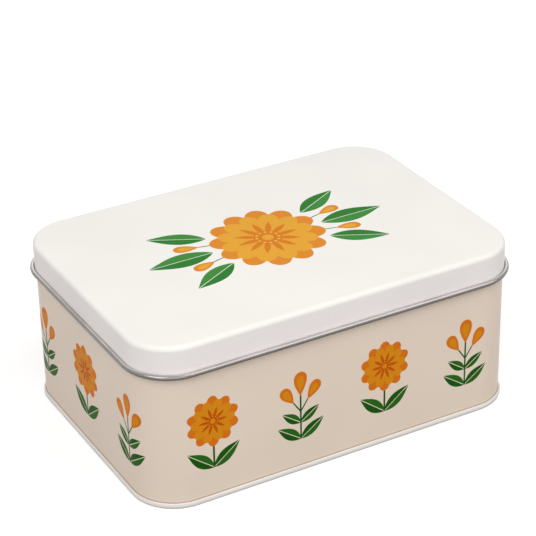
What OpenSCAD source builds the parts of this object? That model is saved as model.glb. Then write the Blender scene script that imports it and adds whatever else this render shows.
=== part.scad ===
// Rectangular slip-lid lunch tin, folded from printed tinplate.
//
// The tin is three pressings and nothing else:
//   body_wall     one strip bent round and locked to itself behind, hooked out
//                 along its foot and curled in along its mouth
//   bottom_plate  a recessed panel whose rim is rolled over the foot of the
//                 wall, which makes the double seam that the tin stands on
//   lid           a drawn cap with a rounded shoulder and a curled-out edge,
//                 which rests with the hollow of its shoulder on the mouth
//
// Every pressing is drawn as what it is: a sheet of one thickness that follows
// a list of straight runs and bends.  The list is swept round the plan of the
// tin, which is a rectangle with round corners.  Offsets are measured outward
// from the outer face of the wall, heights upward from the table.  The origin
// is the middle of the foot.

/* [Tin] */
// Length of the wall, over its outer faces
body_l = 200; // [120:1:320]
// Width of the wall, over its outer faces
body_w = 140; // [90:1:240]
// Height of the closed tin
tin_h = 86; // [50:1:160]
// Corner radius of the wall, on its outer face
corner_r = 22; // [18:1:40]
// Thickness of the tinplate
sheet = 0.25; // [0.2:0.05:0.3]
// Play between two layers of a closed seam
seam_gap = 0.05; // [0.05:0.05:0.1]

/* [Lid] */
// Height of the lid, from the underside of its curled edge to its top
lid_h = 16; // [10:0.5:30]
// Outer radius of the shoulder between the lid's top and its skirt
shoulder_r = 2.3; // [1.8:0.1:4]
// Play between the skirt and the wall
lid_play = 0.4; // [0.3:0.05:0.8]
// Outer diameter of the curled edge of the lid
lid_curl_d = 2.5; // [2:0.1:3.5]

/* [Wall] */
// Outer diameter of the curl along the mouth
mouth_curl_d = 2; // [1.6:0.1:2.4]
// Length of the interlocked run of the upright lock seam
lock_w = 3; // [2.5:0.5:5]
// Distance of the lock seam from the middle of the rear wall
lock_x = 0; // [-15:1:15]
// Height left free of the lock seam below the mouth
lock_below_mouth = 5; // [4:0.5:8]

/* [Bottom] */
// Radius of the double seam's bulged outer face, which sets the seam's height
cover_r = 3; // [2.8:0.1:3.8]
// Radius of the two corners at the foot of the seam, which sets the flat between them
foot_bend_r = 0.4; // [0.35:0.05:0.45]
// Height of the panel's rim above the table, to the underside of the sheet
panel_h = 3.9; // [3.7:0.1:5]
// Width of the panel's rim, from the wall to the step
rim_w = 8; // [5:0.5:12]
// Drop of the field inside the rim, which stiffens the panel
field_drop = 0.9; // [0.7:0.1:1.2]
// Bend radius where the panel's rim turns out of the seam, in the middle of the sheet
panel_bend_r = 0.8; // [0.6:0.05:1]

/* [Hidden] */
$fn = 96;

white = [0.95, 0.94, 0.91];
cream = [0.91, 0.85, 0.76];
off_white = [0.90, 0.89, 0.87];

// A layer and the play beside it.  Two neighbouring layers of a seam lie this
// far apart, so it is also the middle radius of every hook.
layer = sheet + seam_gap;
hook_tip_gap = 0.15;                      // play at the tip of each hook
curl_tip_gap = 0.1;                       // play between a curl's tip and the sheet

// How far a curl turns before its tip comes that close to the sheet it curls from.
function curl_turn(d) = 180 + acos(2 * (sheet + curl_tip_gap) / d - 1);

// The double seam, from the chuck wall outward: chuck wall, body wall, end
// hook, body hook, cover.  These are the offsets of the middles of the layers.
wall_mid = -sheet / 2;
chuck_mid = wall_mid - layer;
end_hook_mid = wall_mid + layer;
body_hook_mid = wall_mid + 2 * layer;

// The cover is a shallow arc that leans out from its top and in to its foot.
// Its lean has a sine and a cosine of three decimals, so that every point of
// the seam has few decimals too and the bends meet without a gap.
lean_cos = 0.936;
lean_sin = 0.352;
lean = acos(lean_cos);
foot_bend_z = foot_bend_r + sheet / 2;    // height of the centres of the foot's corners
foot_flat = (3 + lean_cos) * layer - (1 + lean_cos) * foot_bend_r;
body_hook_z = 2 * layer + sheet / 2;      // height of the centre of the wall's hook
end_hook_z = foot_bend_z + (2 * cover_r - layer - foot_bend_r) * lean_sin;

// The bottom panel, from the chuck wall inward
step_r = field_drop / 2;                  // the step is two equal bends
panel_mid_z = panel_h + sheet / 2;
rim_edge = chuck_mid - panel_bend_r;      // where the rim's flat begins
step_edge = -rim_w;                       // where the step begins
field_edge = step_edge - field_drop;      // where the field begins
flat_lap = 1;                             // run that laps into a flat panel

// The lid, and the mouth that it rests on.  The lid's hollow shoulder and the
// mouth's curl are two circles that meet, which sets the height of the mouth.
skirt_mid = lid_play + sheet / 2;
shoulder_mid_r = shoulder_r - sheet / 2;
top_edge = skirt_mid - shoulder_mid_r;    // where the lid's flat top ends
lid_curl_mid_r = (lid_curl_d - sheet) / 2;
mouth_curl_mid_r = (mouth_curl_d - sheet) / 2;
seat_gap = 0.05;
seat_reach = shoulder_r - sheet - mouth_curl_d / 2 - seat_gap;
seat_in = -mouth_curl_d / 2 - top_edge;   // from the shoulder's centre out to the curl's
seat_rise = seat_in <= 0 ? seat_reach : sqrt(seat_reach ^ 2 - seat_in ^ 2);
mouth_curl_z = tin_h - shoulder_r + floor(100 * seat_rise) / 100;

// ---------------------------------------------------------------- sheet metal
// A bend list holds ["run", length] and ["bend", middle radius, degrees].  A
// bend turns left when its angle is positive.

// Where a pen that is at pen = [x, y, heading] goes with one step.
function after(pen, step) =
    step[0] == "run"
    ? [pen[0] + step[1] * cos(pen[2]), pen[1] + step[1] * sin(pen[2]), pen[2]]
    : let (r = sign(step[2]) * step[1], heading = pen[2] + step[2])
      [pen[0] + r * (sin(heading) - sin(pen[2])),
       pen[1] - r * (cos(heading) - cos(pen[2])),
       heading];

// Where the pen is before step i of a list.
function before(list, start, i) =
    i == 0 ? start : after(before(list, start, i - 1), list[i - 1]);

// A wedge from 0 to the angle, wide enough to cut a circle of radius r.
module wedge(r, angle) {
    steps = ceil(angle / 45);
    rim = [for (i = [0:steps]) 2 * r * [cos(i * angle / steps), sin(i * angle / steps)]];
    polygon(concat([[0, 0]], rim));
}

// One bend of the sheet, drawn by a pen at the origin that heads along +X.
module bend(r, angle) {
    side = sign(angle);
    translate([0, side * r]) mirror([0, side > 0 ? 0 : 1]) rotate(-90)
        intersection() {
            difference() {
                circle(r + sheet / 2);
                circle(r - sheet / 2);
            }
            wedge(r, abs(angle));
        }
}

// The section of a sheet that follows a bend list from start.
module sheet_section(list, start) {
    for (i = [0:len(list) - 1]) {
        pen = before(list, start, i);
        translate([pen[0], pen[1]]) rotate(pen[2])
            if (list[i][0] == "run")
                translate([0, -sheet / 2]) square([list[i][1], sheet]);
            else
                bend(list[i][1], list[i][2]);
    }
}

// ----------------------------------------------------------------------- plan
straight_l = body_l - 2 * corner_r;
straight_w = body_w - 2 * corner_r;

// The plan of the tin, with its outline moved outward by an offset.
module plan(outward) {
    square([straight_l, body_w + 2 * outward], center = true);
    square([body_l + 2 * outward, straight_w], center = true);
    for (x = [-1, 1], y = [-1, 1])
        translate([x * straight_l / 2, y * straight_w / 2])
            circle(corner_r + outward);
}

// Sweeps a section, drawn as [offset, height], round the plan.
module round_plan() {
    for (side = [0:3]) {
        run = side % 2 == 0 ? straight_l : straight_w;
        reach = side % 2 == 0 ? body_w / 2 : body_l / 2;
        rotate(90 * side) translate([run / 2, -reach, 0])
            rotate([90, 0, -90]) linear_extrude(height = run) children();
    }
    for (quarter = [0:3])
        translate([(quarter % 3 == 0 ? 1 : -1) * straight_l / 2,
                   (quarter < 2 ? 1 : -1) * straight_w / 2, 0])
            rotate(90 * quarter) rotate_extrude(angle = 90)
                translate([corner_r, 0]) children();
}

// ------------------------------------------------------------------ body wall
body_hook_run = end_hook_z - hook_tip_gap - body_hook_z;
wall_path = [
    ["run", body_hook_run],
    ["bend", layer, -180],
    ["run", mouth_curl_z - body_hook_z],
    ["bend", mouth_curl_mid_r, curl_turn(mouth_curl_d)],
];

// The upright seam that closes the strip, in plan.  x runs along the rear wall
// and y = 0 is the wall's outer face.  Each edge of the strip is folded back
// and hooked into the other, all inside the line of the wall.
lock_jog_r = 3 * layer / 2;
lock_jog_x = lock_w / 2 + 1.3;
lock_edge = lock_jog_x + 1;               // the seam's half of the gap in the wall
lock_bottom_z = panel_h + sheet + 0.9;
lock_top_z = mouth_curl_z - lock_below_mouth;
lock_hook = [
    ["bend", layer, -180],
    ["run", lock_w - hook_tip_gap],
];
lock_left = concat([["run", lock_edge + lock_w / 2]], lock_hook);
lock_right = concat([
    ["run", lock_edge - lock_jog_x],
    ["bend", lock_jog_r, 90],
    ["bend", lock_jog_r, -90],
    ["run", lock_jog_x - 2 * lock_jog_r + lock_w / 2],
], lock_hook);

module lock_seam() {
    translate([lock_x, body_w / 2, lock_bottom_z])
        linear_extrude(height = lock_top_z - lock_bottom_z) {
            sheet_section(lock_left, [-lock_edge, wall_mid, 0]);
            sheet_section(lock_right, [lock_edge, wall_mid, 180]);
        }
}

module lock_opening() {
    translate([lock_x - lock_edge, body_w / 2 - 2 * sheet, lock_bottom_z])
        cube([2 * lock_edge, 3 * sheet, lock_top_z - lock_bottom_z]);
}

module body_wall() {
    color(cream) {
        difference() {
            round_plan()
                sheet_section(wall_path,
                    [body_hook_mid, end_hook_z - hook_tip_gap, -90]);
            lock_opening();
        }
        lock_seam();
    }
}

// --------------------------------------------------------------- bottom plate
end_hook_run = end_hook_z - body_hook_z - hook_tip_gap;
bottom_path = [
    ["run", end_hook_run],
    ["bend", layer, lean - 180],
    ["bend", cover_r, -lean],
    ["bend", cover_r, -lean],
    ["bend", foot_bend_r, lean - 90],
    ["run", foot_flat],
    ["bend", foot_bend_r, -90],
    ["run", panel_mid_z - panel_bend_r - foot_bend_z],
    ["bend", panel_bend_r, 90],
    ["run", rim_edge - step_edge],
    ["bend", step_r, 90],
    ["bend", step_r, -90],
    ["run", flat_lap],
];

module bottom_plate() {
    color(off_white) {
        round_plan()
            sheet_section(bottom_path,
                [end_hook_mid, body_hook_z + hook_tip_gap, 90]);
        translate([0, 0, panel_h - field_drop])
            linear_extrude(height = sheet) plan(field_edge);
    }
}

// ------------------------------------------------------------------------ lid
lid_path = [
    ["run", flat_lap],
    ["bend", shoulder_mid_r, -90],
    ["run", lid_h - shoulder_r - lid_curl_d / 2],
    ["bend", lid_curl_mid_r, curl_turn(lid_curl_d)],
];

module lid() {
    color(white) {
        round_plan()
            sheet_section(lid_path, [top_edge - flat_lap, tin_h - sheet / 2, 0]);
        translate([0, 0, tin_h - sheet])
            linear_extrude(height = sheet) plan(top_edge);
    }
}

body_wall();
bottom_plate();
lid();
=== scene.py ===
import math

import bpy
from mathutils import Matrix, Vector
from mathutils.geometry import delaunay_2d_cdt


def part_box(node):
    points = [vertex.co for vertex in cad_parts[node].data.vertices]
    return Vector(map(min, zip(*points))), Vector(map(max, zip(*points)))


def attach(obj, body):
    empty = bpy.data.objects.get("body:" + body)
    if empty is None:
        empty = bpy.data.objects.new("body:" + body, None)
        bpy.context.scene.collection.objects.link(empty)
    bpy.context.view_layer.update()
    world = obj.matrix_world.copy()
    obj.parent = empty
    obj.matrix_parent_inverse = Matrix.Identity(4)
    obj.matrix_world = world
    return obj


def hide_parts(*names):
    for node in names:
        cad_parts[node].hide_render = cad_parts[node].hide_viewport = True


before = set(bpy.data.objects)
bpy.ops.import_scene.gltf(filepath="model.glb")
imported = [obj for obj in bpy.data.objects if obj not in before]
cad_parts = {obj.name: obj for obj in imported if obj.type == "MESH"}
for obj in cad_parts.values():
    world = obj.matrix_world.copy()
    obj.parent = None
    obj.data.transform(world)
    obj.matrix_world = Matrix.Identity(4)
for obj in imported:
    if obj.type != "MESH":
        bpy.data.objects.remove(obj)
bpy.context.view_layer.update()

# A rectangular slip-lid lunch tin, folded from printed tinplate.
#
# The tin's pressings are built here as fine meshes of the same sheets that the
# CAD nodes hold: each is a section, which follows a list of runs and bends, swept
# round the plan of the tin.  The print is cut into the sheets' outer faces.
# Lengths are in metres and angles in degrees.  Offsets are measured outward from
# the wall's outer face, and heights upward from the table.

MM = 0.001

# ---------------------------------------------------------------- sizes
# Sizes of the sheet-metal work
SHEET = 0.25 * MM
SEAM_PLAY = 0.05 * MM
LAYER = SHEET + SEAM_PLAY              # a layer of a seam and the play beside it
HOOK_TIP_GAP = 0.15 * MM
CURL_TIP_GAP = 0.1 * MM
COVER_R = 3 * MM                       # the bulged outer face of the double seam
LEAN_COS = 0.936                       # of the lean of its upper and lower ends
LEAN = math.degrees(math.acos(LEAN_COS))
FOOT_BEND_R = 0.4 * MM
RIM_W = 8 * MM                         # of the bottom panel, from the wall to the step
FIELD_DROP = 0.9 * MM                  # of the field inside the rim
PANEL_BEND_R = 0.8 * MM
CORNER_R = 22 * MM
SHOULDER_R = 2.3 * MM                  # between the lid's top and its skirt
LID_PLAY = 0.4 * MM
MOUTH_CURL_D = 2 * MM
BARE_MARGIN = 2.5 * MM                 # of the wall, below the middle of its curl
LOCK_W = 3 * MM                        # the interlocked run of the upright seam
LOCK_SHOULDER = 1.3 * MM               # from that run to where the jog begins
LOCK_FLAT = 1 * MM                     # from there to the seam's edge
LOCK_BELOW_MOUTH = 5 * MM
LOCK_ABOVE_PANEL = 0.9 * MM

# Middles of the seam's layers, outward from the wall's outer face
WALL_MID = -SHEET / 2
CHUCK_MID = WALL_MID - LAYER
END_HOOK_MID = WALL_MID + LAYER
BODY_HOOK_MID = WALL_MID + 2 * LAYER

# Sizes that the frame gives
LID_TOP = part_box("lid")[1].z
LID_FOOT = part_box("lid")[0].z
PANEL_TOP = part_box("bottom_plate")[1].z
HALF_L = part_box("body_wall")[1].x - BODY_HOOK_MID - SHEET / 2
HALF_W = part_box("body_wall")[1].y - BODY_HOOK_MID - SHEET / 2
LID_CURL_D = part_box("lid")[1].x - HALF_L - LID_PLAY
MOUTH_CURL_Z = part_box("body_wall")[1].z - MOUTH_CURL_D / 2

STRAIGHT_L = 2 * (HALF_L - CORNER_R)
STRAIGHT_W = 2 * (HALF_W - CORNER_R)
CORNER_ARC = math.pi / 2 * CORNER_R
GIRTH = 2 * STRAIGHT_L + 2 * STRAIGHT_W + 4 * CORNER_ARC

FOOT_BEND_Z = FOOT_BEND_R + SHEET / 2
FOOT_FLAT = 2 * LAYER + (1 + math.cos(math.radians(LEAN))) * (LAYER - FOOT_BEND_R)
BODY_HOOK_Z = 2 * LAYER + SHEET / 2
END_HOOK_Z = FOOT_BEND_Z + (2 * COVER_R - LAYER - FOOT_BEND_R) * math.sin(math.radians(LEAN))
PANEL_MID_Z = PANEL_TOP - SHEET / 2

SKIRT_MID = LID_PLAY + SHEET / 2
SHOULDER_MID_R = SHOULDER_R - SHEET / 2
TOP_EDGE = SKIRT_MID - SHOULDER_MID_R
LID_CURL_MID_R = (LID_CURL_D - SHEET) / 2
MOUTH_CURL_MID_R = (MOUTH_CURL_D - SHEET) / 2

LOCK_JOG_R = 3 * LAYER / 2
LOCK_JOG_X = LOCK_W / 2 + LOCK_SHOULDER
LOCK_EDGE = LOCK_JOG_X + LOCK_FLAT
LOCK_BOTTOM = PANEL_TOP + LOCK_ABOVE_PANEL
LOCK_TOP = MOUTH_CURL_Z - LOCK_BELOW_MOUTH
BAND_BOTTOM = 10 * MM                  # the band of the wall that holds the print
BAND_TOP = 66 * MM
ENAMEL_TOP = MOUTH_CURL_Z - BARE_MARGIN
SEAM_TOP = END_HOOK_Z + LAYER

# Degrees from one sample to the next along the meshes' bends
SECTION_STEP = 7.5
PLAN_STEP = SECTION_STEP / 2

# The bake's map of each piece: the lower left and upper right corner of each face
WALL_ROWS = 3                          # rows that the wall's outer face is cut into
ROW_FILL = 0.98                        # part of its height that a row fills
LID_MAP = {"top": ((0.005, 0.005), (0.8, 0.59)), "under": ((0.81, 0.005), (0.995, 0.59)),
           "left": ((0.005, 0.60), (0.995, 0.79)), "right": ((0.005, 0.80), (0.995, 0.995))}
BOTTOM_MAP = {"under": ((0.005, 0.005), (0.49, 0.51)), "inside": ((0.51, 0.005), (0.995, 0.51)),
              "left": ((0.005, 0.52), (0.995, 0.75)), "right": ((0.005, 0.76), (0.995, 0.995))}
WALL_MAP = {"right": ((0.005, 0.005), (0.995, 0.83)), "left": ((0.005, 0.84), (0.995, 0.995))}
LOCK_MAP = ((0.005, 0.005), (0.995, 0.995))
LOCK_MAP_W = 30 * MM                   # width of the lock seam's map, half for each fold
LOCK_MAP_SCALE = 0.9                   # keeps each fold in its half

# ---------------------------------------------------------------- sheet metal


def trace(steps, start, cuts=(), bend_step=SECTION_STEP):
    """Follows runs and bends from start = (x, y, heading), and returns samples
    (distance, x, y, heading).  cuts are distances that get a sample too."""
    x, y, heading = start
    gone = 0.0
    samples = [(gone, x, y, heading)]
    for kind, size, *turn in steps:
        a = math.radians(heading)
        if kind == "run":
            inside = [c - gone for c in sorted(cuts) if 0 < c - gone < size]
            for d in inside + [size]:
                samples.append((gone + d, x + d * math.cos(a), y + d * math.sin(a), heading))
        else:
            side = math.copysign(1, turn[0])
            cx, cy = x - side * size * math.sin(a), y + side * size * math.cos(a)
            count = max(2, round(abs(turn[0]) / bend_step))
            for i in range(1, count + 1):
                h = math.radians(heading + turn[0] * i / count)
                d = abs(math.radians(turn[0])) * size * i / count
                samples.append((gone + d, cx + side * size * math.sin(h),
                                cy - side * size * math.cos(h), math.degrees(h)))
        gone, x, y, heading = samples[-1]
    return samples


def curl_turn(diameter):
    """How far a curl turns before its tip nearly meets the sheet it curls from."""
    return 180 + math.degrees(math.acos(2 * (SHEET + CURL_TIP_GAP) / diameter - 1))


def right_of(heading):
    """The direction on the right of a heading."""
    a = math.radians(heading)
    return Vector((math.sin(a), -math.cos(a)))


class Shell:
    """Collects a sheet's vertices and its faces, with each corner's normal and its
    place in the bake's map."""

    def __init__(self):
        self.verts, self.faces, self.normals, self.places, self.slots = [], [], [], [], []

    def vert(self, point):
        self.verts.append(point)
        return len(self.verts) - 1

    def face(self, corners, normals, places, slot):
        self.faces.append(corners)
        self.normals.extend(normals)
        self.places.extend(places)
        self.slots.append(slot)

    def build(self, name, materials):
        mesh = bpy.data.meshes.new(name)
        mesh.from_pydata(self.verts, [], self.faces)
        for material in materials:
            mesh.materials.append(material)
        mesh.polygons.foreach_set("material_index", self.slots)
        mesh.polygons.foreach_set("use_smooth", [True] * len(self.faces))
        bake = mesh.uv_layers.new(name="OFBake")
        bake.data.foreach_set("uv", [c for place in self.places for c in place])
        mesh.normals_split_custom_set(self.normals)
        obj = bpy.data.objects.new(name, mesh)
        bpy.context.scene.collection.objects.link(obj)
        return obj


class Chart:
    """A rectangle of the bake's map, from low to high.  It holds what lies between
    two corners of a flat layout, whose length may be cut into rows of one length."""

    def __init__(self, low, high, span_low, span_high, rows=1):
        self.low, self.high = Vector(low), Vector(high)
        self.span_low, self.span_high, self.rows = Vector(span_low), Vector(span_high), rows

    def place(self, x, y, middle=None):
        """Where (x, y) goes.  middle is the x of its face's middle, which tells the row."""
        row_length = (self.span_high.x - self.span_low.x) / self.rows
        x -= self.span_low.x
        row = 0
        if self.rows > 1:
            row = min(self.rows - 1, int((middle - self.span_low.x) / row_length))
        u = x / row_length - row
        v = (y - self.span_low.y) / (self.span_high.y - self.span_low.y)
        size = self.high - self.low
        fill = ROW_FILL if self.rows > 1 else 1.0
        return (self.low.x + u * size.x, self.low.y + (row + v * fill) * size.y / self.rows)


class Swept:
    """A sheet: a section swept round the plan.  Its right side is on the right of
    the pen that draws the section, which is the outside of a pen going up."""

    def __init__(self, section, charts):
        self.shell = Shell()
        self.section = section
        self.charts = charts
        self.rings = {}
        for side, sign in (("right", 1), ("left", -1)):
            self.rings[side] = []
            for _, offset, height, heading in section:
                out = right_of(heading) * sign
                ring = [self.shell.vert(plan_point(station, offset + out.x * SHEET / 2,
                                                   height + out.y * SHEET / 2))
                        for station in STATIONS]
                self.rings[side].append(ring)

    def normal(self, side, j, i):
        """The normal at section sample j and station i."""
        out = right_of(self.section[j][3]) * (1 if side == "right" else -1)
        around = right_of(STATIONS[i][3])
        return Vector((around.x * out.x, around.y * out.x, out.y))

    def quad(self, side, j, i, slot):
        """The face between section samples j and j + 1, and stations i and i + 1."""
        rings, nxt = self.rings[side], (i + 1) % len(STATIONS)
        spots = [(j, i), (j, i + 1), (j + 1, i + 1), (j + 1, i)]
        if side == "left":
            spots.reverse()
        corners = [rings[b][a if a == i else nxt] for b, a in spots]
        normals = [self.normal(side, b, a % len(STATIONS)) for b, a in spots]
        middle = (DISTANCES[i] + DISTANCES[i + 1]) / 2
        places = [self.charts[side].place(DISTANCES[a], self.section[b][0], middle)
                  for b, a in spots]
        self.shell.face(corners, normals, places, slot)

    def cap(self, j, slot):
        """Closes the sheet's edge at its first or last section sample."""
        first, second = ("left", "right") if j == 0 else ("right", "left")
        a = math.radians(self.section[j][3])
        ahead = Vector((math.cos(a), math.sin(a))) * (-1 if j == 0 else 1)
        for i in range(len(STATIONS)):
            nxt = (i + 1) % len(STATIONS)
            corners = [self.rings[first][j][i], self.rings[first][j][nxt],
                       self.rings[second][j][nxt], self.rings[second][j][i]]
            normals = []
            for k in (i, nxt, nxt, i):
                around = right_of(STATIONS[k][3])
                normals.append(Vector((around.x * ahead.x, around.y * ahead.x, ahead.y)))
            d, t = (DISTANCES[i], DISTANCES[i + 1]), self.section[j][0]
            places = [self.charts["left"].place(s, t) for s in (d[0], d[1], d[1], d[0])]
            self.shell.face(corners, normals, places, slot)


# ---------------------------------------------------------------- plan
PLAN = [("run", STRAIGHT_L / 2), ("bend", CORNER_R, 90), ("run", STRAIGHT_W),
        ("bend", CORNER_R, 90), ("run", STRAIGHT_L), ("bend", CORNER_R, 90),
        ("run", STRAIGHT_W), ("bend", CORNER_R, 90), ("run", STRAIGHT_L / 2)]
REAR_MIDDLE = (0, HALF_W, 180)
ROW_ENDS = [GIRTH * row / WALL_ROWS for row in range(1, WALL_ROWS)]
ROUND = trace(PLAN, REAR_MIDDLE, [LOCK_EDGE, GIRTH - LOCK_EDGE] + ROW_ENDS, PLAN_STEP)
STATIONS = ROUND[:-1]                  # the last sample is the first one again
DISTANCES = [sample[0] for sample in ROUND]
DISTANCE_SLACK = 1e-9


def plan_point(station, offset, height):
    """The point at an offset from the plan at a station, and at a height."""
    _, x, y, heading = station
    out = right_of(heading)
    return Vector((x + out.x * offset, y + out.y * offset, height))


def station_at(distance):
    """The plan's (distance, x, y, heading) at any distance round it."""
    pen, gone = REAR_MIDDLE, 0.0
    for kind, size, *turn in PLAN:
        straight = kind == "run"
        length = size if straight else math.radians(turn[0]) * size
        part = min(1.0, (distance - gone) / length)
        step = (kind, size * part) if straight else (kind, size, turn[0] * part)
        _, *pen = trace([step], pen)[-1]
        gone += length
        if distance <= gone + DISTANCE_SLACK:
            return (distance, *pen)
    raise ValueError("the distance is past the end of the plan")


# ---------------------------------------------------------------- print
# A shape of the print is (ink, outline), with the outline a list of (x, y).
INKS = ["enamel", "ink_deep", "ink_mid", "ink_amber", "ink_pale", "ink_leaf", "ink_leaf_light"]

LEAF_RIB = 0.35 * MM                   # the unprinted line along a leaf
LEAF_SKEW = 0.85                       # below 1, a leaf is widest nearer its foot

# A flower's parts, as parts of its radius
OUTER_PETAL_W = 0.44
INNER_PETAL_L, INNER_PETAL_W = 0.84, 0.36
STREAK_L, STREAK_W, STREAK_START = 0.34, 0.11, 0.22
EYE_R, EYE_MIDDLE_R = 0.25, 0.1
EYE_DOT_R, EYE_DOTS_OUT = 0.027, 0.19

# A bud's inner drop, as parts of the bud's length and width
BUD_DROP_L, BUD_DROP_W, BUD_DROP_START = 0.62, 0.56, 0.2

# The lid's print, with lengths in millimetres and turns from the tin's length
LID_FLOWER_R, LID_PETALS = 29, 12
LID_LEAVES, LID_LEAF_W, LID_LEAVES_OUT = ((0, 34), (28, 29), (-28, 29)), 0.36, 30
LID_BUD_TURNS, LID_BUD_L, LID_BUD_W, LID_BUDS_OUT = (14, -14), 13, 6.5, 34
LID_STEM_L, LID_STEM_W, LID_STEMS_OUT = 6, 0.7, 28.5

# The row of motifs round the wall
MOTIFS_ROUND = 14
MOTIF_FOOT = 17.5 * MM

CUT_NEARNESS = 1e-5                    # millimetres within which cut points are one


def disc(ink, radius, points=24):
    """A round dot about the origin."""
    angles = [2 * math.pi * i / points for i in range(points)]
    return [(ink, [(radius * math.cos(a), radius * math.sin(a)) for a in angles])]


def petal(ink, length, width, fullness=0.6, points=30):
    """A drop with its point at the origin and its round end along +X.  The more
    fullness, the nearer its widest part is to that end."""
    widest = math.sqrt((2 * fullness + 1) / (2 * fullness + 2))
    peak = widest ** (2 * fullness + 1) * math.sqrt(1 - widest ** 2)
    outline = []
    for i in range(points):
        half = math.pi * i / points
        x = length * math.sin(half) ** 2
        y = width / 2 * math.sin(half) ** (2 * fullness + 1) * math.cos(half) / peak
        outline.append((x, -y))
    return [(ink, outline)]


def leaf(length, width, points=14):
    """A pointed leaf along +X in two tones, with its rib left unprinted."""
    shapes = []
    for ink, side in (("ink_leaf", 1), ("ink_leaf_light", -1)):
        ts = [i / points for i in range(points + 1)]
        along_rib = [(t * length, side * LEAF_RIB / 2) for t in ts[:1] + ts[-1:]]
        edge = [(t * length, side * (LEAF_RIB / 2 + width / 2 * math.sin(math.pi * t ** LEAF_SKEW)))
                for t in ts[1:-1]]
        outline = along_rib + edge[::-1]
        shapes.append((ink, outline if side > 0 else outline[::-1]))
    return shapes


def stem(length, width):
    """A straight stem along +X."""
    return [("ink_leaf", [(0, -width / 2), (length, -width / 2), (length, width / 2),
                          (0, width / 2)])]


def put(shapes, x=0.0, y=0.0, turn=0.0):
    """Turns shapes about the origin and then moves them."""
    c, s = math.cos(math.radians(turn)), math.sin(math.radians(turn))
    return [(ink, [(x + c * px - s * py, y + s * px + c * py) for px, py in outline])
            for ink, outline in shapes]


def put_out(shapes, distance, turn):
    """Puts shapes at a distance from the origin, turned to point away from it."""
    return put(put(shapes, x=distance), turn=turn)


def flower(radius, count):
    """A round flower of two rings of petals, seen from above."""
    shapes = []
    turns = [360 / count * i for i in range(count)]
    turns_between = [360 / count * (i + 0.5) for i in range(count)]
    for turn in turns_between:
        shapes += put(petal("ink_mid", radius, radius * OUTER_PETAL_W), turn=turn)
    for turn in turns:
        inner = petal("ink_amber", radius * INNER_PETAL_L, radius * INNER_PETAL_W)
        shapes += put(inner, turn=turn)
    for turn in turns:
        streak = petal("ink_deep", radius * STREAK_L, radius * STREAK_W)
        shapes += put_out(put(streak, x=radius * STREAK_L, turn=180), radius * STREAK_START, turn)
    shapes += disc("ink_deep", radius * EYE_R, points=36)
    for turn in turns_between:
        dot = disc("ink_pale", radius * EYE_DOT_R, points=10)
        shapes += put_out(dot, radius * EYE_DOTS_OUT, turn)
    return shapes + disc("ink_amber", radius * EYE_MIDDLE_R)


def bud(length, width):
    """A drop in two tones along +X."""
    drop = petal("ink_amber", length * BUD_DROP_L, width * BUD_DROP_W)
    return petal("ink_mid", length, width) + put(drop, x=length * BUD_DROP_START)


def lid_print():
    """One flower in the middle, with leaves and buds to the left and right."""
    shapes = []
    for side in (0, 180):
        for turn, length in LID_LEAVES:
            shapes += put_out(leaf(length * MM, length * LID_LEAF_W * MM), LID_LEAVES_OUT * MM,
                              side + turn)
        for turn in LID_BUD_TURNS:
            shapes += put_out(bud(LID_BUD_L * MM, LID_BUD_W * MM), LID_BUDS_OUT * MM, side + turn)
            shapes += put_out(stem(LID_STEM_L * MM, LID_STEM_W * MM), LID_STEMS_OUT * MM,
                              side + turn)
    return shapes + flower(LID_FLOWER_R * MM, LID_PETALS)


def wall_flower():
    """A flower on a stem between two leaves, 38.5 mm tall."""
    stem_length, stem_width = 16 * MM, 1 * MM
    leaf_length, leaf_width, leaf_turns = 17 * MM, 6.4 * MM, (38, 142)
    radius, petals, middle = 13.5 * MM, 10, 25 * MM
    shapes = put(stem(stem_length, stem_width), turn=90)
    for turn in leaf_turns:
        shapes += put(leaf(leaf_length, leaf_width), turn=turn)
    return shapes + put(flower(radius, petals), y=middle)


def wall_sprig():
    """A sprig of three buds and four leaves, 36.5 mm tall."""
    stem_length, stem_width = 25 * MM, 0.9 * MM
    low_leaf, high_leaf, high_leaf_foot = (15 * MM, 5.6 * MM), (12 * MM, 4.6 * MM), 9 * MM
    leaf_turns, twig_lean = (35, 145), 0.62        # a twig leans by this part of a leaf's lean
    twig, fork = (8 * MM, 0.7 * MM), 15 * MM
    side_bud, side_bud_out = (11 * MM, 6 * MM), 6.5 * MM
    top_bud, top_bud_foot = (13 * MM, 7 * MM), 23.5 * MM
    shapes = put(stem(stem_length, stem_width), turn=90)
    for turn in leaf_turns:
        shapes += put(leaf(*low_leaf), turn=turn)
        shapes += put(leaf(*high_leaf), y=high_leaf_foot, turn=turn)
        lean = 90 + (turn - 90) * twig_lean
        shapes += put(stem(*twig), y=fork, turn=lean)
        shapes += put(put_out(bud(*side_bud), side_bud_out, lean), y=fork)
    return shapes + put(bud(*top_bud), y=top_bud_foot, turn=90)


def wall_print():
    """A row of flowers and sprigs round the wall, from the middle of its rear."""
    shapes = []
    for i in range(MOTIFS_ROUND):
        motif = wall_flower() if i % 2 else wall_sprig()
        shapes += put(motif, x=GIRTH * (i + 0.5) / MOTIFS_ROUND, y=MOTIF_FOOT)
    return shapes


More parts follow.
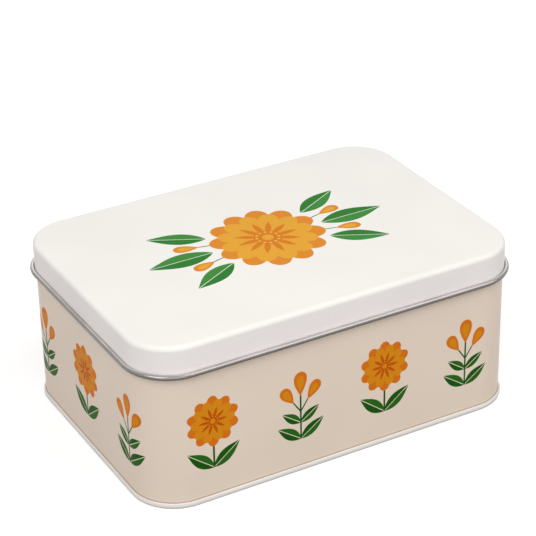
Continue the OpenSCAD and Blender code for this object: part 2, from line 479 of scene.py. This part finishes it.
def cut_print(outline, columns, shapes):
    """Cuts a sheet's flat outline along the print's shapes.  columns are pairs of the
    outline's points with a cut between them.  Returns the flat points, the numbers
    that the outline's own points had, and each triangle's corners and its ink."""
    points = [Vector(p) / MM for p in outline]
    faces, inks = [list(range(len(points)))], ["enamel"]
    for ink, shape in shapes:
        faces.append(list(range(len(points), len(points) + len(shape))))
        inks.append(ink)
        points += [Vector(p) / MM for p in shape]
    inside_constraints = 1
    verts, _, tris, kept, _, sources = delaunay_2d_cdt(
        points, columns, faces, inside_constraints, CUT_NEARNESS)
    number = {}
    for new, olds in enumerate(kept):
        for old in olds:
            if old < len(outline):
                number[new] = old
    return [v * MM for v in verts], number, [
        (tri, inks[max(source)]) for tri, source in zip(tris, sources)]


def print_sheet(swept, outline, corners, columns, shapes, point_at, normal_at, chart):
    """Adds the printed face of a sheet.  corners are the shell's vertices at the
    outline's points; point_at and normal_at take a flat point to the sheet."""
    verts, number, tris = cut_print(outline, columns, shapes)
    index = [corners[number[i]] if i in number else swept.shell.vert(point_at(v))
             for i, v in enumerate(verts)]
    for tri, ink in tris:
        middle = sum(verts[i].x for i in tri) / 3
        swept.shell.face([index[i] for i in tri], [normal_at(verts[i], middle) for i in tri],
                         [chart.place(*verts[i], middle) for i in tri], INKS.index(ink))


# ---------------------------------------------------------------- pieces
def fill(shell, ring, normal, chart, slot):
    """Closes a flat panel inside a ring of the shell's vertices."""
    places = [chart.place(*shell.verts[k].xy) for k in ring]
    shell.face(ring, [normal] * len(ring), places, slot)


def make_lid(materials):
    """The drawn cap: a flat top, a shoulder, a skirt and an edge curled outward."""
    section = trace([("bend", SHOULDER_MID_R, -90),
                     ("run", LID_TOP - LID_FOOT - SHOULDER_R - LID_CURL_D / 2),
                     ("bend", LID_CURL_MID_R, curl_turn(LID_CURL_D))],
                    (TOP_EDGE, LID_TOP - SHEET / 2, 0))
    length, reach = section[-1][0], Vector((HALF_L, HALF_W))
    strips = {side: Chart(*LID_MAP[side], (0, 0), (GIRTH, length)) for side in ("left", "right")}
    top = Chart(*LID_MAP["top"], -reach, reach)
    under = Chart(*LID_MAP["under"], -reach, reach)
    lid = Swept(section, strips)
    enamel, bare, edge = INKS.index("enamel"), len(INKS), len(INKS) + 1
    for j in range(len(section) - 1):
        for i in range(len(STATIONS)):
            lid.quad("left", j, i, enamel)
            lid.quad("right", j, i, edge)
    lid.cap(len(section) - 1, edge)
    outer, inner = lid.rings["left"][0], lid.rings["right"][0]
    outline = [lid.shell.verts[k].xy for k in outer]
    print_sheet(lid, outline, outer, [], lid_print(), lambda p: Vector((p.x, p.y, LID_TOP)),
                lambda p, middle: (0, 0, 1), top)
    fill(lid.shell, inner[::-1], (0, 0, -1), under, bare)
    return lid.shell.build("lid_tinplate", materials)


def make_bottom(materials):
    """The bottom plate, from the tip of its hook in the double seam to its panel."""
    hook_run = END_HOOK_Z - BODY_HOOK_Z - HOOK_TIP_GAP
    field_step = FIELD_DROP / 2
    section = trace([("run", hook_run), ("bend", LAYER, LEAN - 180),
                     ("bend", COVER_R, -2 * LEAN), ("bend", FOOT_BEND_R, LEAN - 90),
                     ("run", FOOT_FLAT), ("bend", FOOT_BEND_R, -90),
                     ("run", PANEL_MID_Z - PANEL_BEND_R - FOOT_BEND_Z),
                     ("bend", PANEL_BEND_R, 90), ("run", CHUCK_MID - PANEL_BEND_R + RIM_W),
                     ("bend", field_step, 90), ("bend", field_step, -90)],
                    (END_HOOK_MID, BODY_HOOK_Z + HOOK_TIP_GAP, 90))
    length, reach = section[-1][0], Vector((HALF_L, HALF_W))
    strips = {side: Chart(*BOTTOM_MAP[side], (0, 0), (GIRTH, length))
              for side in ("left", "right")}
    under = Chart(*BOTTOM_MAP["under"], -reach, reach)
    inside = Chart(*BOTTOM_MAP["inside"], -reach, reach)
    plate = Swept(section, strips)
    coat, bare = 0, 1
    for j in range(len(section) - 1):
        for i in range(len(STATIONS)):
            plate.quad("left", j, i, coat)
            plate.quad("right", j, i, bare)
    plate.cap(0, bare)
    last = len(section) - 1
    fill(plate.shell, plate.rings["right"][last], (0, 0, 1), inside, bare)
    fill(plate.shell, plate.rings["left"][last][::-1], (0, 0, -1), under, coat)
    return plate.shell.build("bottom_tinplate", materials)


def make_wall(materials):
    """The wall, from the tip of its hook in the double seam to its curl at the mouth,
    with a gap for the lock seam."""
    hook_run = END_HOOK_Z - HOOK_TIP_GAP - BODY_HOOK_Z
    upright = hook_run + math.pi * LAYER - BODY_HOOK_Z     # add a height to get a distance
    heights = [LOCK_BOTTOM, BAND_BOTTOM, BAND_TOP, LOCK_TOP, ENAMEL_TOP]
    section = trace([("run", hook_run), ("bend", LAYER, -180),
                     ("run", MOUTH_CURL_Z - BODY_HOOK_Z),
                     ("bend", MOUTH_CURL_MID_R, curl_turn(MOUTH_CURL_D))],
                    (BODY_HOOK_MID, END_HOOK_Z - HOOK_TIP_GAP, -90),
                    [upright + z for z in heights])
    distances = [sample[0] for sample in section]
    lock_low, band_low, band_high, lock_high, enamel_end = [
        min(range(len(section)), key=lambda j: abs(distances[j] - upright - z)) for z in heights]
    charts = {"right": Chart(*WALL_MAP["right"], (0, 0), (GIRTH, distances[-1]), WALL_ROWS),
              "left": Chart(*WALL_MAP["left"], (0, 0), (GIRTH, distances[-1]))}
    wall = Swept(section, charts)
    enamel, bare = INKS.index("enamel"), len(INKS)
    first, last = DISTANCES.index(LOCK_EDGE), DISTANCES.index(GIRTH - LOCK_EDGE)
    gap = [i for i in range(len(STATIONS)) if i < first or i >= last]
    for j in range(len(section) - 1):
        for i in range(len(STATIONS)):
            if lock_low <= j < lock_high and i in gap:
                continue
            wall.quad("left", j, i, bare)
            if not band_low <= j < band_high:
                wall.quad("right", j, i, enamel if j < enamel_end else bare)
    wall.cap(0, bare)
    wall.cap(len(section) - 1, bare)
    edge_the_gap(wall, first, last, gap, lock_low, lock_high, bare)

    around = list(range(first, last + 1))
    right = wall.rings["right"]
    outline = ([(DISTANCES[i], BAND_BOTTOM) for i in around]
               + [(DISTANCES[i], BAND_TOP) for i in around[::-1]])
    corners = [right[band_low][i] for i in around] + [right[band_high][i] for i in around[::-1]]
    columns = [(k, len(outline) - 1 - k) for k in range(1, len(around) - 1)]

    def point_at(p):
        return plan_point(station_at(p.x), 0, p.y)

    def normal_at(p, middle):
        return right_of(station_at(p.x)[3]).to_3d()

    upright_chart = Chart(*WALL_MAP["right"], (0, -upright), (GIRTH, distances[-1] - upright),
                          WALL_ROWS)
    print_sheet(wall, outline, corners, columns, wall_print(), point_at, normal_at,
                upright_chart)
    return wall.shell.build("wall_tinplate", materials)


def edge_the_gap(wall, first, last, gap, low, high, slot):
    """Shows the sheet's thickness round the gap that the lock seam fills."""
    right, left = wall.rings["right"], wall.rings["left"]
    place = wall.charts["left"].place(0, 0)
    for i, sign in ((first, -1), (last, 1)):
        a = math.radians(STATIONS[i][3])
        normal = Vector((math.cos(a), math.sin(a), 0)) * sign
        for j in range(low, high):
            corners = [right[j][i], right[j + 1][i], left[j + 1][i], left[j][i]]
            wall.shell.face(corners[::-sign], [normal] * 4, [place] * 4, slot)
    for j, sign in ((low, 1), (high, -1)):
        for i in gap:
            k = (i + 1) % len(STATIONS)
            corners = [right[j][i], right[j][k], left[j][k], left[j][i]]
            wall.shell.face(corners[::sign], [Vector((0, 0, sign))] * 4, [place] * 4, slot)


def make_lock_seam(materials):
    """The two folded edges of the wall's sheet, hooked into each other."""
    hook = [("bend", LAYER, -180), ("run", LOCK_W - HOOK_TIP_GAP)]
    left_fold = trace([("run", LOCK_EDGE + LOCK_W / 2)] + hook, (-LOCK_EDGE, WALL_MID, 0))
    right_fold = trace([("run", LOCK_EDGE - LOCK_JOG_X), ("bend", LOCK_JOG_R, 90),
                        ("bend", LOCK_JOG_R, -90),
                        ("run", LOCK_JOG_X - 2 * LOCK_JOG_R + LOCK_W / 2)] + hook,
                       (LOCK_EDGE, WALL_MID, 180))
    shell = Shell()
    chart = Chart(*LOCK_MAP, (0, LOCK_BOTTOM), (LOCK_MAP_W, LOCK_TOP))
    for fold, start in ((left_fold, 0), (right_fold, LOCK_MAP_W / 2)):
        add_fold(shell, fold, start, chart)
    return shell.build("lock_seam", materials)


def add_fold(shell, fold, start, chart):
    """Stands a folded sheet upright at the middle of the rear wall.  start is where
    its map begins."""
    enamel, bare = 0, 1
    outward = 0.3                      # of a normal's Y, above which a face looks out
    rim = []                           # (point, normal, distance) once round the sheet
    for sign, samples in ((1, fold), (-1, fold[::-1])):
        for distance, x, y, heading in samples:
            out = right_of(heading) * sign
            rim.append((Vector((x, y)) + out * SHEET / 2, out, distance))
    rows = [[shell.vert(Vector((p.x, HALF_W + p.y, z))) for p, _, _ in rim]
            for z in (LOCK_BOTTOM, LOCK_TOP)]
    for k, (p, out, distance) in enumerate(rim):
        n = (k + 1) % len(rim)
        at_tip = n % len(fold) == 0
        flat = (rim[n][0] - p).orthogonal().normalized() * -1
        outs = (flat, flat) if at_tip else (out, rim[n][1])
        normals = [outs[0].to_3d(), outs[1].to_3d(), outs[1].to_3d(), outs[0].to_3d()]
        places = [chart.place(start + d * LOCK_MAP_SCALE, z) for d, z in
                  ((distance, LOCK_BOTTOM), (rim[n][2], LOCK_BOTTOM),
                   (rim[n][2], LOCK_TOP), (distance, LOCK_TOP))]
        shows = not at_tip and outs[0].y > outward and p.y > WALL_MID
        shell.face([rows[0][k], rows[0][n], rows[1][n], rows[1][k]], normals, places,
                   enamel if shows else bare)
    place = chart.place(start, LOCK_BOTTOM)
    for row, z in ((rows[0][::-1], -1), (rows[1], 1)):
        shell.face(row, [Vector((0, 0, z))] * len(row), [place] * len(row), bare)


# ---------------------------------------------------------------- materials
# Colours from 0 to 255.  The inks are in the order of INKS after the coat.
LID_INKS = [(219, 128, 36), (226, 141, 48), (232, 168, 58), (235, 183, 80), (50, 126, 50),
            (66, 140, 62)]
WALL_INKS = [(200, 88, 12), (222, 118, 26), (223, 142, 26), (218, 158, 50), (26, 88, 14),
             (42, 104, 26)]
# The skirt's white is the lid's white with a painted pink tint of the light on its side faces
LID_WHITE, SKIRT_PAINTED_TINT = (246, 243, 237), (246, 239, 237)
# The wall's crease colour is painted shade, a thin brown line where the wall meets the double seam
WALL_CREAM, CREASE_PAINTED_SHADE = (238, 221, 204), (194, 169, 146)
# The seam's foot grey is painted shade, darker towards the bottom of the seam and on the underside
SEAM_WHITE, SEAM_FOOT_PAINTED_SHADE = (240, 235, 230), (224, 219, 214)
TINPLATE_TONES = (216, 216, 214), (222, 221, 218)

# Where a coat turns from one colour to another: two heights
# The skirt's pink tint is painted light on the side faces
SHOULDER_TINT_BLEND = LID_TOP - SHOULDER_R / 2, LID_TOP - 2 * SHOULDER_R
# Painted shade in the crease above the double seam
CREASE_SHADE_BLEND = SEAM_TOP + 0.7 * MM, SEAM_TOP + 0.15 * MM
# Painted shade, darker towards the foot of the seam and on the underside
SEAM_FOOT_SHADE_BLEND = 0.6 * SEAM_TOP, 0.3 * SEAM_TOP

# The curled edge's painted shade: tones at heights from its middle, as parts of its diameter,
# darkest on its underside and lighter upward to the bare tinplate's tone
CURL_SHADE_TONES = [(-0.05, (90, 87, 84)), (0.08, (110, 107, 104)), (0.17, (125, 122, 119)),
              (0.35, (140, 137, 134)), (0.42, (150, 147, 145)), (0.47, (174, 171, 169)),
              (0.495, (224, 221, 219))]

# Noises, as the size of their features, their detail and how they are stretched
COAT_CLOUDS = (45 * MM, 1.0)
COAT_SPECKS = (0.5 * MM, 2.0)
COAT_SCUFFS = (9 * MM, 6.0, (1.0, 0.35, 1.0))
COAT_PEEL = (1.1 * MM, 1.0)
COAT_WAVES = (55 * MM, 0.0)
TINPLATE_GRAIN = (0.35 * MM, 3.0, (1.0, 1.0, 0.06))
TINPLATE_CLOUDS = (24 * MM, 2.0)
CURL_WANDER = (18 * MM, 1.0)
CURL_SPECKS = (0.5 * MM, 2.0)
CURL_WEAR = (1.5 * MM, 2.0)
NOISE_RANGE = (0.35, 0.65)             # where most of a noise's values lie
SPECKS_RANGE = (0.3, 0.7)

# What the noises do: how far colours and roughness go, and bumps by strength and depth
COAT_CLOUD_TONES, COAT_SPECK_TONES = (0.988, 1.012), (0.98, 1.02)
CURL_SPECK_TONES = (0.97, 1.03)
COAT_ROUGHNESS, TINPLATE_ROUGHNESS, CURL_ROUGHNESS = (0.31, 0.38), (0.27, 0.35), (0.16, 0.24)
COAT_GLOSS, INK_GLOSS = 0.045, 0.02
PEEL_BUMP, WAVES_BUMP, GRAIN_BUMP = (0.25, 0.004 * MM), (0.5, 0.12 * MM), (0.2, 0.0015 * MM)
CURL_WANDER_Z = 0.03 * MM


class Nodes:
    """Builds a material's nodes, from places on the object in metres."""

    def __init__(self, name):
        self.material = bpy.data.materials.new(name)
        self.material.use_nodes = True
        self.tree = self.material.node_tree
        self.shader = self.tree.nodes["Principled BSDF"]
        self.place = self.tree.nodes.new("ShaderNodeTexCoord").outputs["Object"]

    def link(self, a, b):
        self.tree.links.new(a, b)

    def stretched(self, scale):
        """Places on the object, scaled along each axis."""
        mapping = self.tree.nodes.new("ShaderNodeMapping")
        mapping.inputs["Scale"].default_value = scale
        self.link(self.place, mapping.inputs["Vector"])
        return mapping.outputs["Vector"]

    def noise(self, size, detail, stretch=None):
        """Noise with features of about this size, in metres."""
        node = self.tree.nodes.new("ShaderNodeTexNoise")
        node.inputs["Scale"].default_value = 1 / size
        node.inputs["Detail"].default_value = detail
        self.link(self.stretched(stretch) if stretch else self.place, node.inputs["Vector"])
        return node.outputs["Fac"]

    def between(self, value, low, high, from_low=NOISE_RANGE[0], from_high=NOISE_RANGE[1]):
        """Takes a number between from_low and from_high to one between low and high."""
        node = self.tree.nodes.new("ShaderNodeMapRange")
        node.inputs["From Min"].default_value = from_low
        node.inputs["From Max"].default_value = from_high
        node.inputs["To Min"].default_value = low
        node.inputs["To Max"].default_value = high
        self.link(value, node.inputs["Value"])
        return node.outputs["Result"]

    def blend(self, factor, first, second):
        """Blends two colours, which are RGBA values or sockets."""
        node = self.tree.nodes.new("ShaderNodeMix")
        node.data_type = "RGBA"
        for socket, colour in zip([s for s in node.inputs if s.type == "RGBA"], (first, second)):
            if isinstance(colour, bpy.types.NodeSocket):
                self.link(colour, socket)
            else:
                socket.default_value = colour
        self.link(factor, node.inputs["Factor"])
        return next(s for s in node.outputs if s.type == "RGBA")

    def shaded(self, colour, *factors):
        """A colour times numbers from nodes."""
        for factor in factors:
            grey = self.tree.nodes.new("ShaderNodeCombineXYZ")
            for socket in grey.inputs:
                self.link(factor, socket)
            product = self.tree.nodes.new("ShaderNodeVectorMath")
            product.operation = "MULTIPLY"
            self.link(grey.outputs[0], product.inputs[1])
            if isinstance(colour, bpy.types.NodeSocket):
                self.link(colour, product.inputs[0])
            else:
                product.inputs[0].default_value = colour[:3]
            colour = product.outputs[0]
        return colour

    def height(self):
        """The height on the object, in metres."""
        split = self.tree.nodes.new("ShaderNodeSeparateXYZ")
        self.link(self.place, split.inputs[0])
        return split.outputs["Z"]

    def sum(self, first, second):
        """The sum of two numbers from nodes."""
        node = self.tree.nodes.new("ShaderNodeMath")
        self.link(first, node.inputs[0])
        self.link(second, node.inputs[1])
        return node.outputs[0]

    def bump(self, height, strength, depth, under=None):
        """A normal bent by a height from nodes, on top of the bump under it."""
        node = self.tree.nodes.new("ShaderNodeBump")
        node.inputs["Strength"].default_value = strength
        node.inputs["Distance"].default_value = depth
        self.link(height, node.inputs["Height"])
        if under:
            self.link(under, node.inputs["Normal"])
        return node.outputs["Normal"]


def srgb(red, green, blue):
    """A colour from 0 to 255 as Blender's linear RGBA."""
    def linear(c):
        c /= 255
        return c / 12.92 if c <= 0.04045 else ((c + 0.055) / 1.055) ** 2.4
    return (linear(red), linear(green), linear(blue), 1.0)


def enamel(name, colour, gloss=COAT_GLOSS, second=None):
    """Printed and varnished tinplate.  second, if any, is (heights, colour): between
    the two heights the coat turns to that colour."""
    n = Nodes(name)
    colour = srgb(*colour)
    if second:
        heights, other = second
        colour = n.blend(n.between(n.height(), 0, 1, *heights), colour, srgb(*other))
    clouds = n.between(n.noise(*COAT_CLOUDS), *COAT_CLOUD_TONES)
    specks = n.between(n.noise(*COAT_SPECKS), *COAT_SPECK_TONES, *SPECKS_RANGE)
    n.link(n.shaded(colour, clouds, specks), n.shader.inputs["Base Color"])
    n.link(n.between(n.noise(*COAT_SCUFFS), *COAT_ROUGHNESS), n.shader.inputs["Roughness"])
    peel = n.bump(n.noise(*COAT_PEEL), *PEEL_BUMP)
    n.link(n.bump(n.noise(*COAT_WAVES), *WAVES_BUMP, peel), n.shader.inputs["Normal"])
    n.shader.inputs["Specular IOR Level"].default_value = gloss
    return n.material


def ink_set(sheet, colours):
    """The inks of one sheet, in the order of INKS after the coat."""
    return [enamel(f"{sheet}_{ink}", colour, INK_GLOSS)
            for ink, colour in zip(INKS[1:], colours)]


def bare_tinplate(name):
    """Bright tinplate with its rolling grain."""
    n = Nodes(name)
    grain = n.noise(*TINPLATE_GRAIN)
    clouds = n.between(n.noise(*TINPLATE_CLOUDS), 0, 1)
    low, high = [srgb(*tone) for tone in TINPLATE_TONES]
    n.link(n.blend(clouds, low, high), n.shader.inputs["Base Color"])
    n.link(n.between(grain, *TINPLATE_ROUGHNESS), n.shader.inputs["Roughness"])
    n.link(n.bump(grain, *GRAIN_BUMP), n.shader.inputs["Normal"])
    n.shader.inputs["Metallic"].default_value = 1.0
    return n.material


def painted_shade_tinplate(name):
    """The lid's curled edge and the inside of its skirt: bright tinplate, with painted
    shade on the curl that is darkest on its underside and lighter upward."""
    n = Nodes(name)
    middle = LID_FOOT + LID_CURL_D / 2
    wander = n.between(n.noise(*CURL_WANDER), -CURL_WANDER_Z, CURL_WANDER_Z)
    height = n.sum(n.height(), wander)
    colour = srgb(*CURL_SHADE_TONES[0][1])
    for (low, _), (high, tone) in zip(CURL_SHADE_TONES, CURL_SHADE_TONES[1:]):
        part = n.between(height, 0, 1, middle + low * LID_CURL_D, middle + high * LID_CURL_D)
        colour = n.blend(part, colour, srgb(*tone))
    specks = n.between(n.noise(*CURL_SPECKS), *CURL_SPECK_TONES)
    n.link(n.shaded(colour, specks), n.shader.inputs["Base Color"])
    n.link(n.between(n.noise(*CURL_WEAR), *CURL_ROUGHNESS), n.shader.inputs["Roughness"])
    n.shader.inputs["Metallic"].default_value = 1.0
    return n.material


# ---------------------------------------------------------------- stage
CAMERA_TURN, CAMERA_RISE, CAMERA_ROLL = -28.705, 28.737, -1.26
CAMERA_DISTANCE = 1.0286
CAMERA_TARGET = Vector((0.02276, 0.0421, 0.0428))
CAMERA_LENS, SENSOR = 134.28, 36       # millimetres

# How bright the surroundings are as a light and as seen
WORLD_LIT, WORLD_SEEN = 0.4, 1.0
FLOOR_LIT, FLOOR_SEEN = 0.38, 0.85
FLOOR_GLOW, FLOOR_FAR_GLOW = 0.38, 1.0  # what the seen floor adds, near the tin and far off
FLOOR_FADE = (0.35, 1.2)               # distances between which the glow grows
FLOOR_HALF = 3.0

# Square softboxes: name, place, side, watts and whether the metal mirrors it
SOFTBOX_AIM = Vector((0, 0, 0.04))
SOFTBOXES = [("front", (-0.62, -1.12, 0.62), 1.5, 5.4, True),
             ("high_right", (0.54, -0.7, 1.04), 1.1, 6.9, True),
             ("high_left", (-0.85, -0.45, 1.04), 0.7, 4.4, True),
             ("left", (-1.1, 0.2, 0.9), 0.7, 1.8, False),
             ("rear", (0.75, 1.15, 0.75), 1.2, 2.4, False)]


def add_camera():
    """A long lens that looks from the front left and above."""
    turn, rise = math.radians(CAMERA_TURN), math.radians(CAMERA_RISE)
    back = Vector((math.sin(turn) * math.cos(rise), -math.cos(turn) * math.cos(rise),
                   math.sin(rise)))
    right = Vector((0, 0, 1)).cross(back).normalized()
    axes = Matrix((right, back.cross(right), back)).transposed()
    axes = axes @ Matrix.Rotation(math.radians(CAMERA_ROLL), 3, "Z")
    data = bpy.data.cameras.new("camera")
    data.lens, data.sensor_width = CAMERA_LENS, SENSOR
    camera = bpy.data.objects.new("camera", data)
    camera.matrix_world = Matrix.Translation(CAMERA_TARGET + back * CAMERA_DISTANCE) @ axes.to_4x4()
    bpy.context.scene.collection.objects.link(camera)
    bpy.context.scene.camera = camera


def add_softbox(name, place, side, watts, mirrored):
    """A square lamp that looks at the middle of the tin."""
    data = bpy.data.lights.new(name, "AREA")
    data.shape = "SQUARE"
    data.size, data.energy = side, watts
    light = bpy.data.objects.new(name, data)
    light.visible_glossy = mirrored
    light.location = place
    light.rotation_euler = (SOFTBOX_AIM - Vector(place)).to_track_quat("-Z", "Y").to_euler()
    bpy.context.scene.collection.objects.link(light)


def seen_straight(tree):
    """1 for what the camera, mirrors and glass see, and 0 for what lights the part."""
    path = tree.nodes.new("ShaderNodeLightPath")
    rays = [path.outputs[name] for name in ("Is Camera Ray", "Is Glossy Ray",
                                            "Is Transmission Ray")]
    total = rays[0]
    for ray in rays[1:]:
        either = tree.nodes.new("ShaderNodeMath")
        either.operation = "MAXIMUM"
        tree.links.new(total, either.inputs[0])
        tree.links.new(ray, either.inputs[1])
        total = either.outputs[0]
    return total


def only_seen(tree, lit, seen):
    """A shader that is seen as one thing and lights the part as another."""
    mix = tree.nodes.new("ShaderNodeMixShader")
    tree.links.new(seen_straight(tree), mix.inputs["Fac"])
    tree.links.new(lit, mix.inputs[1])
    tree.links.new(seen, mix.inputs[2])
    return mix.outputs[0]


def add_world():
    """White surroundings, which light the part less brightly than they look."""
    world = bpy.data.worlds.new("studio")
    bpy.context.scene.world = world
    world.use_nodes = True
    tree = world.node_tree
    lit = tree.nodes["Background"]
    lit.inputs["Color"].default_value = (1, 1, 1, 1)
    lit.inputs["Strength"].default_value = WORLD_LIT
    seen = tree.nodes.new("ShaderNodeBackground")
    seen.inputs["Color"].default_value = (1, 1, 1, 1)
    seen.inputs["Strength"].default_value = WORLD_SEEN
    out = only_seen(tree, lit.outputs[0], seen.outputs[0])
    tree.links.new(out, tree.nodes["World Output"].inputs["Surface"])


def add_floor():
    """Pale paper that keeps the tin's shadow and is white further off."""
    mesh = bpy.data.meshes.new("floor")
    corners = [(-1, -1), (1, -1), (1, 1), (-1, 1)]
    mesh.from_pydata([(x * FLOOR_HALF, y * FLOOR_HALF, 0) for x, y in corners], [],
                     [range(len(corners))])
    floor = bpy.data.objects.new("floor", mesh)
    bpy.context.scene.collection.objects.link(floor)
    n = Nodes("floor_paper")
    n.tree.nodes.remove(n.shader)
    papers = []
    for grey in (FLOOR_LIT, FLOOR_SEEN):
        paper = n.tree.nodes.new("ShaderNodeBsdfDiffuse")
        paper.inputs["Color"].default_value = (grey, grey, grey, 1)
        papers.append(paper.outputs[0])
    glow = n.tree.nodes.new("ShaderNodeEmission")
    away = n.tree.nodes.new("ShaderNodeVectorMath")
    away.operation = "LENGTH"
    n.link(n.place, away.inputs[0])
    n.link(n.between(away.outputs["Value"], FLOOR_GLOW, FLOOR_FAR_GLOW, *FLOOR_FADE),
           glow.inputs["Strength"])
    lifted = n.tree.nodes.new("ShaderNodeAddShader")
    n.link(papers[1], lifted.inputs[0])
    n.link(glow.outputs[0], lifted.inputs[1])
    n.link(only_seen(n.tree, papers[0], lifted.outputs[0]),
           n.tree.nodes["Material Output"].inputs["Surface"])
    mesh.materials.append(n.material)


# ---------------------------------------------------------------- build
lid_inks, wall_inks = ink_set("lid", LID_INKS), ink_set("wall", WALL_INKS)
tinplate = bare_tinplate("bare_tinplate")
# The curled edge's material paints shade on the curl, darkest on its underside
curled_edge_painted_shade = painted_shade_tinplate("curled_edge_painted_shade")
# The lid's coat turns to a painted tint of the side light on its skirt
lid_enamel = enamel("lid_enamel", LID_WHITE, second=(SHOULDER_TINT_BLEND, SKIRT_PAINTED_TINT))
# The wall's coat has painted shade in the crease above the double seam
wall_enamel = enamel("wall_enamel", WALL_CREAM, second=(CREASE_SHADE_BLEND, CREASE_PAINTED_SHADE))
# The bottom's coat has painted shade, darker towards the foot of the seam and on the underside
bottom_enamel = enamel("bottom_enamel", SEAM_WHITE, second=(SEAM_FOOT_SHADE_BLEND, SEAM_FOOT_PAINTED_SHADE))

lid = make_lid([lid_enamel] + lid_inks + [tinplate, curled_edge_painted_shade])
wall = make_wall([wall_enamel] + wall_inks + [tinplate])
bottom = make_bottom([bottom_enamel, tinplate])
lock_seam = make_lock_seam([wall_enamel, tinplate])
for piece, body, node, slot in ((lid, "lid", "lid", "lid_enamel"),
                                (wall, "tin", "body_wall", "printed_tinplate"),
                                (bottom, "tin", "bottom_plate", "white_tinplate"),
                                (lock_seam, "tin", "body_wall", "printed_tinplate")):
    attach(piece, body)
    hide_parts(node)

add_camera()
add_world()
for name, place, side, watts, mirrored in SOFTBOXES:
    add_softbox(name, place, side, watts, mirrored)
add_floor()

bpy.context.scene.view_settings.view_transform = "Standard"
